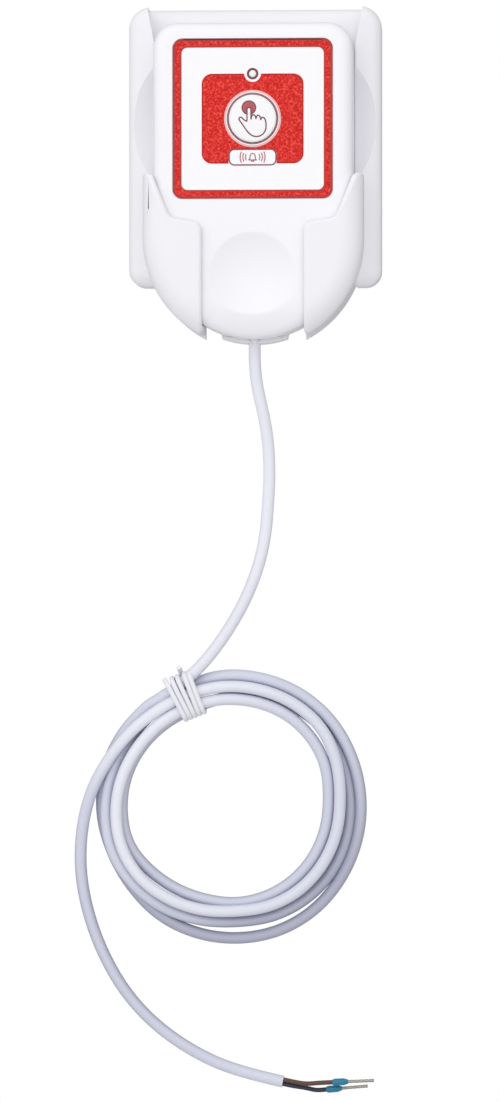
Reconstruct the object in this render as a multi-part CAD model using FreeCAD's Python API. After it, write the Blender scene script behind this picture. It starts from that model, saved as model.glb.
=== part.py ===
# Corded call handset resting in its wall holder, with a tied coil of two-core cable.
# Millimetres. X runs to the right, Z up, and the wall is the plane Y = 0, so the front faces -Y.
# The origin is the centre of the holder's back face.
import FreeCAD, Part
import math
import os

# Wall holder
holder_width = 72.3
holder_height = 80.0
holder_top_corner = 6.5
holder_bottom_corner = 4.7
holder_floor = 4.5
floor_rounding = 3.9
foot_notch = 2.4
foot_notch_half = 27.2
foot_notch_slope = 0.8
foot_notch_corner = 1.2
rail_front = 13.0
rail_crown_radius = 150.0
rail_rounding = 3.9
channel_width = 57.0
channel_side_slope = 0.1
channel_edge_rounding = 0.6
lead_in_width = 2.3
lead_in_height = 12.0
scoop_radius = 36.0
scoop_reach = 35.6
scoop_offset = 17.0
scoop_height = 6.3
scoop_sink = 0.9
rail_wall = 2.2
rail_core_depth = 8.0
back_pocket_depth = 2.0
back_rim = 3.0
back_rib = 1.8
screw_boss_radius = 6.5
wall_screw_spacing = 60.0
wall_screw_hole = 4.2
wall_screw_head = 8.4
wall_screw_sink = 2.4

# Cradle, the open pouch at the foot of the holder
cradle_wall = 2.7
cradle_gap = 0.35
slot_width = 28.8
slot_corner = 2.6
wing_shoulder_x = 23.3
wing_shoulder_z = -21.7
wing_slot_z = -23.1
horn_x = 29.0
horn_z = -7.5
horn_fall = 0.8
horn_rounding = 2.4
shoulder_rounding = 3.0
wing_rim_rounding = 1.0
window_root = 0.5

# Handset
seat_gap = 0.3
handset_width = 56.4
handset_height = 88.8
handset_depth = 22.2
handset_drop = 6.5
handset_corner = 7.2
handset_edge = 3.5
handset_rear_edge = 1.5
handset_wall = 2.2
sweep_radius = 16.0
sweep_above_bottom = 11.3
sweep_end_angle = 62.0
parting_from_rear = 7.2
parting_groove = 0.35
post_root = 1.2
lip_thickness = 0.9
lip_height = 1.6
lip_gap = 0.15
lip_opening = 9.0
chin_width = 19.0
chin_slant = 0.5
chin_reach = 1.2
chin_front = 8.1
chin_slope_angle = 38.0
dish_radius = 26.0
dish_diameter = 23.4
dish_height_above_bottom = 18.3
dish_tilt = 2.0
dish_sink = 0.2
dish_rim_rounding = 1.2

# Front label and its printed fields
label_size = 45.0
label_corner = 2.7
label_recess = 0.95
label_thickness = 0.5
label_print = 0.08
label_margin = 0.15
label_backing = 0.2
label_below_top = 27.3
frame_print_width = 2.45
frame_print_corner = 1.7
panel_width = 28.7
panel_height = 25.3
panel_corner = 2.9
sign_field_width = 13.6
sign_field_height = 5.0
sign_field_corner = 1.4
sign_field_drop = 11.1
indicator_field_radius = 2.35
button_rim_radius = 8.05
button_rim_width = 0.75
button_rim_height = 0.4
button_rim_rounding = 0.32
print_ring_gap = 0.02

# Call button, its switch and the indicator light
button_radius = 6.7
button_gap = 0.2
button_proud = 1.0
button_crown = 0.3
button_rounding = 0.5
button_travel = 0.6
button_flange_radius = 8.2
button_flange_thickness = 1.0
button_flange_gap = 0.1
stem_radius = 1.6
plunger_radius = 1.7
plunger_gap = 0.1
plunger_length = 2.0
switch_size = 6.2
switch_height = 3.4
switch_chamfer = 0.5
light_pipe_radius = 1.05
light_well_radius = 1.64
light_well_depth = 0.8
light_pipe_gap = 0.06
light_pipe_proud = 0.35
light_pipe_rounding = 0.63
light_air = 0.2
light_flange_radius = 1.7
light_flange_thickness = 0.6
indicator_led_length = 3.2
indicator_led_width = 1.8
indicator_led_height = 0.8
indicator_base_height = 0.48
indicator_dome_radius = 0.7

# Circuit board and what stands on it
board_width = 36.0
board_height = 46.0
board_corner = 1.5
board_thickness = 1.6
board_from_front = 7.9
board_drop = 2.0
board_screw_x = 15.2
board_screw_span = 36.0
board_post_radius = 2.4
board_screw_shank = 0.9
board_screw_head = 1.9
board_screw_head_height = 1.2
board_screw_head_rounding = 0.6
board_screw_length = 6.0
board_cross_width = 0.5
board_cross_length = 2.8
board_cross_depth = 0.4
resistor_count = 3
resistor_rise = 9.0
resistor_length = 3.2
resistor_width = 1.6
resistor_height = 0.6
terminal_width = 10.0
terminal_height = 8.0
terminal_depth = 7.0
terminal_drop = 14.0
terminal_hole_radius = 1.0
terminal_hole_depth = 5.0
terminal_entry = 2.6
terminal_screw_radius = 1.2
terminal_screw_bed = 1.6
terminal_screw_sink = 0.3
terminal_slot_width = 0.4
terminal_slot_depth = 0.5

# Screws that hold the two shells together
shell_screw_x = 22.0
shell_screw_top = 6.8
shell_screw_low_x = 18.5
shell_screw_low = 23.0
shell_post_radius = 3.0
shell_screw_shank = 1.25
shell_screw_head = 2.4
shell_screw_head_height = 1.7
shell_screw_sink = 1.0
shell_screw_length = 13.0
shell_cross_width = 0.7
shell_cross_length = 3.4
shell_cross_depth = 0.7
screw_gap = 0.05
screw_tip_room = 0.5

# Cable, its bush and its clamp
cable_diameter = 3.4
arc_share = 0.45
cable_gap = 0.05
bush_neck_radius = 2.6
bush_flange_radius = 3.8
bush_flange_thickness = 1.0
bush_cover = 1.0
bush_seat_height = 8.0
cable_exit_gap = 0.15
inner_end_proud = 0.3
clamp_height_above_bottom = 12.5
clamp_width = 15.0
clamp_bar_height = 5.0
clamp_bar_thickness = 1.5
clamp_saddle_drop = 0.68
clamp_gap = 0.1
jacket_past_clamp = 3.0
clamp_screw_x = 5.2
clamp_screw_length = 6.0
core_diameter = 1.3
core_spread = 0.75
core_forward_offset = 0.26
core_upward_offset = 0.65
core_first_run = 3.0
inner_core_run = 3.0
ferrule_collar_length = 4.5
ferrule_collar_diameter = 2.0
ferrule_entry_length = 0.72
ferrule_nose_length = 1.26
ferrule_throat_gap = 0.12
ferrule_nose_gap = 0.15
ferrule_pin_diameter = 0.9
ferrule_pin_length = 7.4
crimp_count = 4
crimp_start = 1.63
crimp_pitch = 1.4
crimp_jaw_radius = 0.3
crimp_jaw_offset = 0.22

# Coil of cable and its tie
coil_centre_x = -7.7
coil_centre_z = -188.4
coil_inner_radius = 26.2
coil_outer_radius = 39.6
coil_back = 0.4
coil_front = 9.0
coil_rounding = 3.2
tie_angle = 112.0
tie_neck_angle = 9.0
tie_neck_inner = 28.2
tie_neck_outer = 39.0
tie_neck_back = 1.8
tie_neck_front = 8.5
tie_neck_rounding = 2.56
tie_neck_overlap = 2.0
tie_wire = 1.5
tie_turns = 4
tie_pitch = 1.6
tie_gap = 0.05
tie_corner = 1.95

# How far a cutting tool stands out past what it cuts, in open space and near other walls
reach = 20.0
overcut = 1.0

# How close counts as touching
near = 0.01

# Places worked out from the sizes
half_handset = handset_width / 2
rear_y = -(holder_floor + seat_gap)
front_y = rear_y - handset_depth
parting_y = rear_y - parting_from_rear
handset_top = holder_height / 2 - handset_drop
handset_bottom = handset_top - handset_height
round_z = handset_bottom + half_handset
sweep_z = handset_bottom + sweep_above_bottom
label_z = handset_top - label_below_top
label_floor_y = front_y + label_recess
label_front_y = label_floor_y - label_thickness
inner_front_y = front_y + handset_wall + label_backing
inner_rear_y = rear_y - handset_wall
panel_top = label_z + panel_height / 2
sign_field_z = label_z - sign_field_drop
board_front_y = front_y + board_from_front
board_rear_y = board_front_y + board_thickness
switch_front_y = board_front_y - switch_height
board_z = label_z - board_drop
screw_seat_y = rear_y - shell_screw_head_height - shell_screw_sink
clamp_z = handset_bottom + clamp_height_above_bottom
cable_radius = cable_diameter / 2
core_radius = core_diameter / 2
saddle_y = parting_y - clamp_saddle_drop
bush_seat_top = handset_bottom + bush_seat_height
exit_z = handset_bottom - chin_reach

# The cable's route, chosen by hand, from the bush to the coil and from the coil to its cut end
lead_points = [
    (0.0, parting_y, exit_z - inner_end_proud),
    (-0.1, -12.1, -62.5),
    (0.9, -11.4, -70.0),
    (2.6, -10.1, -77.2),
    (3.8, -9.0, -85.0),
    (4.1, -8.0, -94.0),
    (3.6, -7.5, -102.5),
    (2.9, -7.2, -111.0),
    (0.9, -6.9, -120.0),
    (-2.9, -6.6, -129.7),
    (-8.2, -6.5, -138.9),
    (-14.2, -6.7, -147.0),
    (-17.8, -6.8, -151.5),
]
tail_points = [
    (-27.0, -7.0, -156.6),
    (-34.9, -7.5, -162.8),
    (-40.9, -7.0, -171.2),
    (-45.8, -5.8, -180.2),
    (-49.0, -4.2, -189.5),
    (-50.6, -3.0, -199.5),
    (-50.4, -2.4, -210.0),
    (-47.9, -2.2, -221.5),
    (-43.5, -2.3, -232.6),
    (-37.4, -2.5, -242.8),
    (-29.0, -2.8, -251.8),
    (-18.0, -3.4, -259.4),
    (-5.6, -4.2, -264.8),
    (7.8, -5.0, -267.6),
]


def point(x, y, z):
    """Short name for a vector."""
    return FreeCAD.Vector(x, y, z)


def line(start, end):
    """Straight edge between two points."""
    return Part.LineSegment(start, end).toShape()


def arc(start, middle, end):
    """Circular edge through three points."""
    return Part.Arc(start, middle, end).toShape()


def box(x_range, y_range, z_range):
    """Box between the given limits."""
    corner = point(x_range[0], y_range[0], z_range[0])
    size = [high - low for low, high in (x_range, y_range, z_range)]
    return Part.makeBox(size[0], size[1], size[2], corner)


def rod(x, z, radius, y_front, y_rear):
    """Cylinder along Y from its front end to its rear end."""
    return Part.makeCylinder(radius, y_rear - y_front, point(x, y_front, z), point(0, 1, 0))


def rounded_polygon(corners, y):
    """Closed wire in the plane of y. Each corner is x, z and its rounding radius."""
    edges = []
    ends = []
    count = len(corners)
    for index, (x, z, radius) in enumerate(corners):
        here = point(x, y, z)
        before = corners[index - 1]
        after = corners[(index + 1) % count]
        to_before = (point(before[0], y, before[1]) - here).normalize()
        to_after = (point(after[0], y, after[1]) - here).normalize()
        half_turn = to_before.getAngle(to_after) / 2
        setback = radius / math.tan(half_turn)
        middle = (to_before + to_after).normalize() * (radius / math.sin(half_turn) - radius)
        ends.append((here + to_before * setback, here + middle, here + to_after * setback, radius))
    for index, (start, middle, end, radius) in enumerate(ends):
        if radius > 0:
            edges.append(arc(start, middle, end))
        edges.append(line(end, ends[(index + 1) % count][0]))
    return Part.Wire(edges)


def slab(corners, y_front, y_rear):
    """Plate with a rounded outline between two depths."""
    return Part.Face(rounded_polygon(corners, y_front)).extrude(point(0, y_rear - y_front, 0))


def rectangle(width, height, centre_z, top_radius, bottom_radius):
    """Corners of an upright rectangle on the centre line."""
    half = width / 2
    low = centre_z - height / 2
    high = centre_z + height / 2
    return [
        (half, low, bottom_radius),
        (half, high, top_radius),
        (-half, high, top_radius),
        (-half, low, bottom_radius),
    ]


def edges_within(shape, test):
    """Edges whose every sampled point passes the test."""
    found = []
    for edge in shape.Edges:
        if all(test(spot) for spot in edge.discretize(5)):
            found.append(edge)
    return found


# Handset form

def handset_outline(grow, y):
    """Front outline: flat top with rounded corners, half-round foot."""
    half = half_handset + grow
    top = handset_top + grow
    corner = handset_corner + grow
    bend = corner * (1 - math.sqrt(0.5))
    edges = [
        arc(point(-half, y, round_z), point(0, y, round_z - half), point(half, y, round_z)),
        line(point(half, y, round_z), point(half, y, top - corner)),
        arc(point(half, y, top - corner), point(half - bend, y, top - bend), point(half - corner, y, top)),
        line(point(half - corner, y, top), point(corner - half, y, top)),
        arc(point(corner - half, y, top), point(bend - half, y, top - bend), point(-half, y, top - corner)),
        line(point(-half, y, top - corner), point(-half, y, round_z)),
    ]
    return Part.Wire(edges)


def outline_block(grow, y_front, y_rear):
    """The front outline as a straight block."""
    return Part.Face(handset_outline(grow, y_front)).extrude(point(0, y_rear - y_front, 0))


def side_block(grow, y_rear):
    """Side profile as a block: flat front that sweeps back towards the foot."""
    end_angle = math.radians(sweep_end_angle)
    front = front_y - grow
    radius = sweep_radius + grow
    centre_y = front_y + sweep_radius
    side = half_handset + reach
    top = handset_top + reach
    run = handset_width

    def on_arc(angle):
        return point(-side, centre_y - radius * math.cos(angle), sweep_z - radius * math.sin(angle))

    foot = on_arc(end_angle) + point(0, run * math.sin(end_angle), -run * math.cos(end_angle))
    edges = [
        line(point(-side, front, top), on_arc(0)),
        arc(on_arc(0), on_arc(end_angle / 2), on_arc(end_angle)),
        line(on_arc(end_angle), foot),
        line(foot, point(-side, y_rear, foot.z)),
        line(point(-side, y_rear, foot.z), point(-side, y_rear, top)),
        line(point(-side, y_rear, top), point(-side, front, top)),
    ]
    return Part.Face(Part.Wire(edges)).extrude(point(2 * side, 0, 0))


def handset_form(grow, y_rear):
    """The handset's body, grown outwards by one amount all round, with its front edge rounded."""
    raw = outline_block(grow, front_y - grow, y_rear).common(side_block(grow, y_rear))
    limit = front_y + sweep_radius / 2
    spine = [edge for edge in edges_within(raw, lambda spot: spot.y < limit) if not is_sweep_line(edge)]
    return raw.makeFillet(handset_edge + grow, spine)


def is_sweep_line(edge):
    """True for the smooth line where the flat front starts to sweep back."""
    box_z = edge.BoundBox
    return box_z.ZLength < near and abs(box_z.ZMin - sweep_z) < near


def chin():
    """Raised pad round the cable's exit, with slanted ends, across both shells."""
    half = chin_width / 2
    low = handset_bottom - chin_reach * 2
    high = handset_bottom + sweep_above_bottom / 2
    corners = [
        (half - chin_slant, low, 0),
        (half + chin_slant, high, 0),
        (-half - chin_slant, high, 0),
        (chin_slant - half, low, 0),
    ]
    pad = slab(corners, front_y, rear_y).common(outline_block(chin_reach, front_y, rear_y))
    slope = box((-half * 2, half * 2), (front_y - reach, rear_y - chin_front), (low - reach, high + reach))
    slope.rotate(point(0, rear_y - chin_front, handset_bottom), point(1, 0, 0), -chin_slope_angle)
    return pad.cut(slope)


def thumb_dish(grow):
    """Ball that cuts the thumb dish, or with grow, the wall behind it."""
    half = dish_diameter / 2
    depth = dish_radius - math.sqrt(dish_radius ** 2 - half ** 2)
    centre_z = handset_bottom + dish_height_above_bottom
    tilt = math.radians(dish_tilt)
    arm = dish_radius - depth
    centre = point(0, front_y + dish_sink - arm * math.cos(tilt), centre_z - arm * math.sin(tilt))
    return Part.makeSphere(dish_radius + grow, centre)


def handset_body():
    """Outer body of the handset, both shells together."""
    body = handset_form(0, rear_y)
    rear_edges = edges_within(body, lambda spot: abs(spot.y - rear_y) < near)
    body = body.makeFillet(handset_rear_edge, rear_edges)
    ball = thumb_dish(0)
    body = body.fuse(chin()).cut(ball)
    rim = edges_within(body, lambda spot: abs(spot.distanceToPoint(ball.CenterOfMass) - dish_radius) < near)
    return body.makeFillet(dish_rim_rounding, rim)


def handset_cavity():
    """Space inside the two shells."""
    space = handset_form(-handset_wall, inner_rear_y)
    space = space.cut(thumb_dish(handset_wall))
    backing = slab(label_corners(handset_wall), front_y, inner_front_y)
    return space.cut(backing)


def label_corners(grow):
    """Corners of the label's outline."""
    size = label_size + 2 * grow
    return rectangle(size, size, label_z, label_corner + grow, label_corner + grow)


def shell_screw_places():
    """Where the four shell screws stand, as x and z."""
    high = handset_top - shell_screw_top
    low = handset_bottom + shell_screw_low
    return [
        (-shell_screw_x, high),
        (shell_screw_x, high),
        (-shell_screw_low_x, low),
        (shell_screw_low_x, low),
    ]


def board_screw_places():
    """Where the board's screws stand, as x and z."""
    half = board_screw_span / 2
    return [(side * board_screw_x, board_z + end * half) for side in (-1, 1) for end in (-1, 1)]


def front_shell(body, cavity):
    """Front half of the handset, with posts for the board, the shell screws and the clamp."""
    groove = outline_block(reach, parting_y - parting_groove, parting_y + overcut).cut(
        outline_block(-parting_groove, parting_y - parting_groove, parting_y + overcut))
    half = box((-handset_width, handset_width), (front_y - reach, parting_y),
               (handset_bottom - reach, handset_top + reach))
    shell = body.common(half).cut(cavity).cut(groove)
    posts = []
    for x, z in shell_screw_places():
        posts.append(rod(x, z, shell_post_radius, front_y + post_root, parting_y - screw_gap))
    for x, z in board_screw_places():
        posts.append(rod(x, z, board_post_radius, front_y + post_root, board_front_y))
    posts.append(box((-clamp_width / 2, clamp_width / 2), (front_y + post_root, saddle_y),
                     (clamp_z - clamp_bar_height / 2, clamp_z + clamp_bar_height / 2)))
    inside = handset_form(-handset_wall / 2, inner_rear_y)
    for post in posts:
        shell = shell.fuse(post.common(inside))
    shell = shell.cut(slab(label_corners(label_margin), front_y - overcut, label_floor_y))
    shell = shell.cut(thumb_dish(0))
    shell = shell.cut(rod(0, label_z, button_radius + button_gap, front_y - overcut, inner_front_y + overcut))
    well_end = label_floor_y + light_well_depth
    shell = shell.cut(rod(0, panel_top, light_well_radius, front_y - overcut, well_end))
    bore = light_pipe_radius + light_pipe_gap
    shell = shell.cut(rod(0, panel_top, bore, front_y - overcut, inner_front_y + overcut))
    for x, z in shell_screw_places():
        tip = inner_rear_y + shell_screw_head_height - shell_screw_length
        shell = shell.cut(rod(x, z, shell_screw_shank + screw_gap, tip - screw_tip_room, parting_y))
    for x, z in board_screw_places():
        tip = board_rear_y - board_screw_length
        bore = board_screw_shank + screw_gap
        shell = shell.cut(rod(x, z, bore, tip - screw_tip_room, board_front_y + overcut))
    for x in (-clamp_screw_x, clamp_screw_x):
        tip = clamp_bar_rear() - clamp_screw_length
        shell = shell.cut(rod(x, clamp_z, board_screw_shank + screw_gap, tip - screw_tip_room, parting_y))
    bore = cable_radius + cable_gap
    shell = shell.cut(cable_hole(bore, clamp_z - clamp_bar_height, clamp_z + clamp_bar_height))
    return shell.cut(bush_seat()).removeSplitter()


def rear_shell(body, cavity):
    """Rear half of the handset, with its lip and the countersunk screw tubes."""
    half = box((-handset_width, handset_width), (parting_y, reach),
               (handset_bottom - reach, handset_top + reach))
    shell = body.common(half).cut(cavity)
    lip_root = outline_block(-handset_wall, parting_y, parting_y + lip_height)
    lip_end = outline_block(-handset_wall - lip_gap, parting_y - lip_height, parting_y)
    hollow = outline_block(-handset_wall - lip_thickness, parting_y - lip_height, parting_y + lip_height)
    shell = shell.fuse(lip_root.fuse(lip_end).cut(hollow))
    inside = handset_form(-handset_wall / 2, rear_y)
    for x, z in shell_screw_places():
        post = rod(x, z, shell_post_radius, parting_y + screw_gap, inner_rear_y + overcut)
        shell = shell.fuse(post.common(inside))
        room = rod(x, z, shell_post_radius + lip_gap, parting_y - lip_height - overcut, parting_y + screw_gap)
        shell = shell.cut(room)
        shell = shell.cut(rod(x, z, shell_screw_shank + screw_gap, parting_y - overcut, rear_y + overcut))
        shell = shell.cut(rod(x, z, shell_screw_head + screw_gap, screw_seat_y, rear_y + overcut))
    shell = shell.cut(box((-lip_opening / 2, lip_opening / 2), (parting_y - reach, parting_y),
                          (handset_bottom - reach, bush_seat_top)))
    return shell.cut(bush_seat()).removeSplitter()


def cable_hole(radius, low, high):
    """Upright bore on the cable's axis."""
    return Part.makeCylinder(radius, high - low, point(0, parting_y, low), point(0, 0, 1))


def bush_seat():
    """Space in both shells for the neck and the flange of the bush, and the cable's way out below it."""
    neck = cable_hole(bush_neck_radius, handset_bottom + bush_cover, bush_seat_top)
    neck = neck.fuse(cable_hole(cable_radius + cable_exit_gap, handset_bottom - reach, bush_seat_top))
    flange_low = handset_bottom + handset_wall
    flange_high = flange_low + bush_flange_thickness + cable_gap
    return neck.fuse(cable_hole(bush_flange_radius + cable_gap, flange_low, flange_high))


def cable_bush():
    """Soft bush round the cable, just inside the handset's foot."""
    flange_low = handset_bottom + handset_wall
    neck_low = handset_bottom + bush_cover
    bush = cable_hole(bush_neck_radius, neck_low, flange_low)
    bush = bush.fuse(cable_hole(bush_flange_radius, flange_low, flange_low + bush_flange_thickness))
    return bush.cut(cable_hole(cable_radius, neck_low - reach, flange_low + reach)).removeSplitter()


def clamp_bar_rear():
    """Depth of the clamp bar's rear face."""
    return parting_y + cable_radius + clamp_bar_thickness


def cable_clamp():
    """Bar that presses the cable into its saddle."""
    half = clamp_width / 2
    low = clamp_z - clamp_bar_height / 2
    high = clamp_z + clamp_bar_height / 2
    bar = box((-half, half), (saddle_y + clamp_gap, clamp_bar_rear()), (low, high))
    bar = bar.cut(cable_hole(cable_radius + cable_gap, low - overcut, high + overcut))
    for x in (-clamp_screw_x, clamp_screw_x):
        bar = bar.cut(rod(x, clamp_z, board_screw_shank + screw_gap, front_y, rear_y))
    return bar


def cross_recess(x, z, y, width, length):
    """Cross-shaped recess from the depth y to the rear."""
    thin = width / 2
    wide = length / 2
    upright = box((x - thin, x + thin), (y, y + overcut), (z - wide, z + wide))
    level = box((x - wide, x + wide), (y, y + overcut), (z - thin, z + thin))
    return upright.fuse(level)


def small_screw(x, z, head_y, length):
    """Pan-headed screw whose head sits on the plane head_y, pointing forwards."""
    top = head_y + board_screw_head_height
    head = rod(x, z, board_screw_head, head_y, top)
    head = head.makeFillet(board_screw_head_rounding, edges_within(head, lambda spot: spot.y > top - near))
    head = head.cut(cross_recess(x, z, top - board_cross_depth, board_cross_width, board_cross_length))
    return head.fuse(rod(x, z, board_screw_shank, head_y - length, head_y))


def shell_screw(x, z):
    """Cheese-headed shell screw, sunk in the rear shell."""
    top = screw_seat_y + shell_screw_head_height
    head = rod(x, z, shell_screw_head, screw_seat_y, top)
    head = head.cut(cross_recess(x, z, top - shell_cross_depth, shell_cross_width, shell_cross_length))
    tip = inner_rear_y + shell_screw_head_height - shell_screw_length
    return head.fuse(rod(x, z, shell_screw_shank, tip, screw_seat_y))


# Label, print, button and light

def front_label():
    """White label in the handset's recess, with the raised rim round the button."""
    label = slab(label_corners(0), label_front_y, label_floor_y)
    outer = rod(0, label_z, button_rim_radius, label_front_y - button_rim_height, label_floor_y)
    rim = edges_within(outer, lambda spot: spot.y < label_front_y - near)
    outer = outer.makeFillet(button_rim_rounding, rim)
    inner = rod(0, label_z, button_rim_radius - button_rim_width, front_y - overcut, label_front_y)
    label = label.fuse(outer).cut(inner)
    label = label.cut(rod(0, label_z, button_radius + button_gap, front_y - overcut, label_floor_y + overcut))
    well = rod(0, panel_top, light_well_radius, front_y - overcut, label_floor_y + overcut)
    return label.cut(well).removeSplitter()


def label_print_fields():
    """Red fields printed on the label: the frame, the panel and the ring in the button's groove."""
    print_y = label_front_y - label_print
    before = print_y - overcut
    behind = label_front_y + overcut
    inner = label_size - 2 * frame_print_width
    field = rectangle(inner, inner, label_z, frame_print_corner, frame_print_corner)
    frame = slab(label_corners(0), print_y, label_front_y).cut(slab(field, before, behind))
    corners = rectangle(panel_width, panel_height, label_z, panel_corner, panel_corner)
    panel = slab(corners, print_y, label_front_y)
    sign = rectangle(sign_field_width, sign_field_height, sign_field_z, sign_field_corner, sign_field_corner)
    panel = panel.cut(slab(sign, before, behind))
    panel = panel.cut(rod(0, panel_top, indicator_field_radius, before, behind))
    panel = panel.cut(rod(0, label_z, button_rim_radius, before, behind))
    ring = rod(0, label_z, button_rim_radius - button_rim_width - print_ring_gap, print_y, label_front_y)
    ring = ring.cut(rod(0, label_z, button_radius + button_gap, before, behind))
    return Part.makeCompound([frame, panel, ring])


def call_button():
    """Press cap with a low crown, a retaining flange and a short stem."""
    face_y = label_front_y - button_proud
    cap = rod(0, label_z, button_radius, face_y - button_crown, inner_front_y + button_flange_gap)
    crown_radius = (button_radius ** 2 + button_crown ** 2) / (2 * button_crown)
    ball = Part.makeSphere(crown_radius, point(0, face_y - button_crown + crown_radius, label_z))
    cap = cap.common(ball.fuse(rod(0, label_z, button_radius + overcut, face_y, inner_front_y + overcut)))
    rim = edges_within(cap, lambda spot: abs(spot.y - face_y) < near)
    cap = cap.makeFillet(button_rounding, rim)
    flange_y = inner_front_y + button_flange_gap
    cap = cap.fuse(rod(0, label_z, button_flange_radius, flange_y, flange_y + button_flange_thickness))
    cap = cap.fuse(rod(0, label_z, stem_radius, flange_y, plunger_front()))
    return cap.removeSplitter()


def plunger_front():
    """Depth where the button's stem meets the switch plunger."""
    return inner_front_y + button_flange_gap + button_flange_thickness


def switch_plunger():
    """The switch's own pin, which moves with the button."""
    return rod(0, label_z, plunger_radius, plunger_front(), switch_front_y + plunger_length)


def switch_body():
    """Push switch on the board, with the bore its plunger slides in."""
    half = switch_size / 2
    body = box((-half, half), (switch_front_y, board_front_y), (label_z - half, label_z + half))

    def on_corner(spot):
        return abs(abs(spot.x) - half) + abs(abs(spot.z - label_z) - half) < near

    body = body.makeChamfer(switch_chamfer, edges_within(body, on_corner))
    bore_end = switch_front_y + plunger_length + button_travel + plunger_gap
    return body.cut(rod(0, label_z, plunger_radius + plunger_gap, switch_front_y - overcut, bore_end))


def light_pipe():
    """Clear rod that carries the indicator's light to the label."""
    tip = label_front_y - light_pipe_proud
    rear = board_front_y - indicator_led_height - light_air
    pipe = rod(0, panel_top, light_pipe_radius, tip, rear)
    pipe = pipe.makeFillet(light_pipe_rounding, edges_within(pipe, lambda spot: spot.y < tip + near))
    flange_y = inner_front_y + light_pipe_gap
    return pipe.fuse(rod(0, panel_top, light_flange_radius, flange_y, flange_y + light_flange_thickness))


def indicator_led():
    """Small light on the board behind the light pipe."""
    base = box((-indicator_led_length / 2, indicator_led_length / 2),
               (board_front_y - indicator_base_height, board_front_y),
               (panel_top - indicator_led_width / 2, panel_top + indicator_led_width / 2))
    dome_y = board_front_y - indicator_led_height
    return base.fuse(rod(0, panel_top, indicator_dome_radius, dome_y, board_front_y))


# Board and wiring

def circuit_board():
    """Board with its screw holes."""
    corners = rectangle(board_width, board_height, board_z, board_corner, board_corner)
    board = slab(corners, board_front_y, board_rear_y)
    for x, z in board_screw_places():
        bore = board_screw_shank + screw_gap
        board = board.cut(rod(x, z, bore, board_front_y - overcut, board_rear_y + overcut))
    return board


def resistors():
    """Chip resistors in a row on the board's front."""
    chips = []
    z = board_z - board_height / 2 + resistor_rise
    for index in range(resistor_count):
        x = (index - (resistor_count - 1) / 2) * 2 * resistor_length
        chips.append(box((x - resistor_length / 2, x + resistor_length / 2),
                         (board_front_y - resistor_height, board_front_y),
                         (z - resistor_width / 2, z + resistor_width / 2)))
    return Part.makeCompound(chips)


def terminal_z():
    """Height of the terminal block's middle."""
    return board_z - terminal_drop


def terminal_block():
    """Two-way screw terminal on the back of the board, wires entering from below."""
    low = terminal_z() - terminal_height / 2
    high = terminal_z() + terminal_height / 2
    rear = board_rear_y + terminal_depth
    block = box((-terminal_width / 2, terminal_width / 2), (board_rear_y, rear), (low, high))
    for side in (-1, 1):
        x = side * terminal_width / 4
        mouth = point(x, terminal_entry_y(), low)
        block = block.cut(Part.makeCylinder(terminal_hole_radius, terminal_hole_depth, mouth, point(0, 0, 1)))
        block = block.cut(rod(x, terminal_z(), terminal_screw_radius + screw_gap, terminal_bed_y(), rear))
    return block


def terminal_entry_y():
    """Depth of the wire holes in the terminal block."""
    return board_rear_y + terminal_entry


def terminal_bed_y():
    """Depth of the terminal screws' front ends."""
    return terminal_entry_y() + terminal_screw_bed


def terminal_screws():
    """The two clamping screws of the terminal block."""
    screws = []
    top = board_rear_y + terminal_depth - terminal_screw_sink
    half_slot = terminal_slot_width / 2
    for side in (-1, 1):
        x = side * terminal_width / 4
        screw = rod(x, terminal_z(), terminal_screw_radius, terminal_bed_y(), top)
        slot = box((x - terminal_screw_radius - overcut, x + terminal_screw_radius + overcut),
                   (top - terminal_slot_depth, top + overcut),
                   (terminal_z() - half_slot, terminal_z() + half_slot))
        screws.append(screw.cut(slot))
    return Part.makeCompound(screws)


def tube_path(points):
    """Straight runs joined by tangent arcs, with the arcs' radii."""
    spots = [point(*values) for values in points]
    edges = []
    radii = []
    start = spots[0]
    for before, here, after in zip(spots, spots[1:], spots[2:]):
        to_before = (before - here).normalize()
        to_after = (after - here).normalize()
        turn = math.pi - to_before.getAngle(to_after)
        setback = arc_share * min((before - here).Length, (after - here).Length)
        radius = setback / math.tan(turn / 2)
        arc_start = here + to_before * setback
        arc_end = here + to_after * setback
        inward = (to_before + to_after).normalize()
        middle = here + inward * (radius / math.cos(turn / 2) - radius)
        edges.append(line(start, arc_start))
        edges.append(arc(arc_start, middle, arc_end))
        radii.append(radius)
        start = arc_end
    edges.append(line(start, spots[-1]))
    return Part.Wire(edges), radii


def ring_at(edge, radius):
    """Circle square to an edge at its start."""
    start = edge.FirstParameter
    return Part.Wire(Part.makeCircle(radius, edge.valueAt(start), edge.tangentAt(start)))


def tube(points, radius, name=""):
    """Round tube along a route, and its tightest arc on the screen where it has a name."""
    path, radii = tube_path(points)
    first = path.Edges[0]
    solid = path.makePipeShell([ring_at(first, radius)], True, True)
    if name:
        share = solid.Volume / (math.pi * radius ** 2 * path.Length)
        print(name, "length", round(path.Length, 1), "volume share", round(share, 4),
              "arc radii", [round(value, 1) for value in radii])
    return solid


def cable_inner_end():
    """The cable's jacket inside the handset, from the bush to just past the clamp."""
    return cable_hole(cable_radius, exit_z - inner_end_proud, inner_jacket_end())


def inner_jacket_end():
    """Height at which the jacket is stripped inside the handset."""
    return clamp_z + clamp_bar_height / 2 + jacket_past_clamp


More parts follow.
